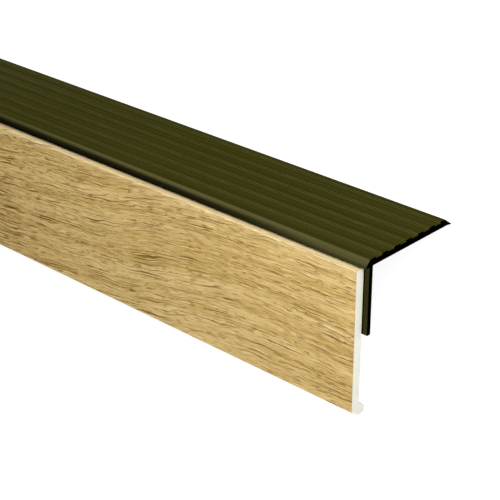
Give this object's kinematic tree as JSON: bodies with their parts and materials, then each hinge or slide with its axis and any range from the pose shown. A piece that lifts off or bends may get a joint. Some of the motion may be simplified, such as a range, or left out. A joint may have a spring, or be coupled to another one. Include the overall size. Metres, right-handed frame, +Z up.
{
  "type": "stair nosing",
  "caption": "Length of ribbed, dark anodised aluminium stair nosing with a short front leg and a wood-look riser strip, lying loose on a floor.",
  "frame": {"origin": "centre of the bounding box's bottom, on the floor that the loose part lies on", "axes": "+X along the stock's length, +Z up; the tread flange slopes down towards +Y and the riser strip towards -Y, as the loose part rests on its rear tip and on the strip's foot"},
  "size_m": [0.9, 0.0774, 0.041],
  "materials": {
    "anodised_aluminium": "satin bronze anodised",
    "white_core": "matt extruded",
    "oak_foil": "matt printed oak grain"
  },
  "bodies": {
    "root": {"nosing_profile": "anodised_aluminium", "riser_strip": "white_core", "decor_foil": "oak_foil"}
  },
  "joints": []
}
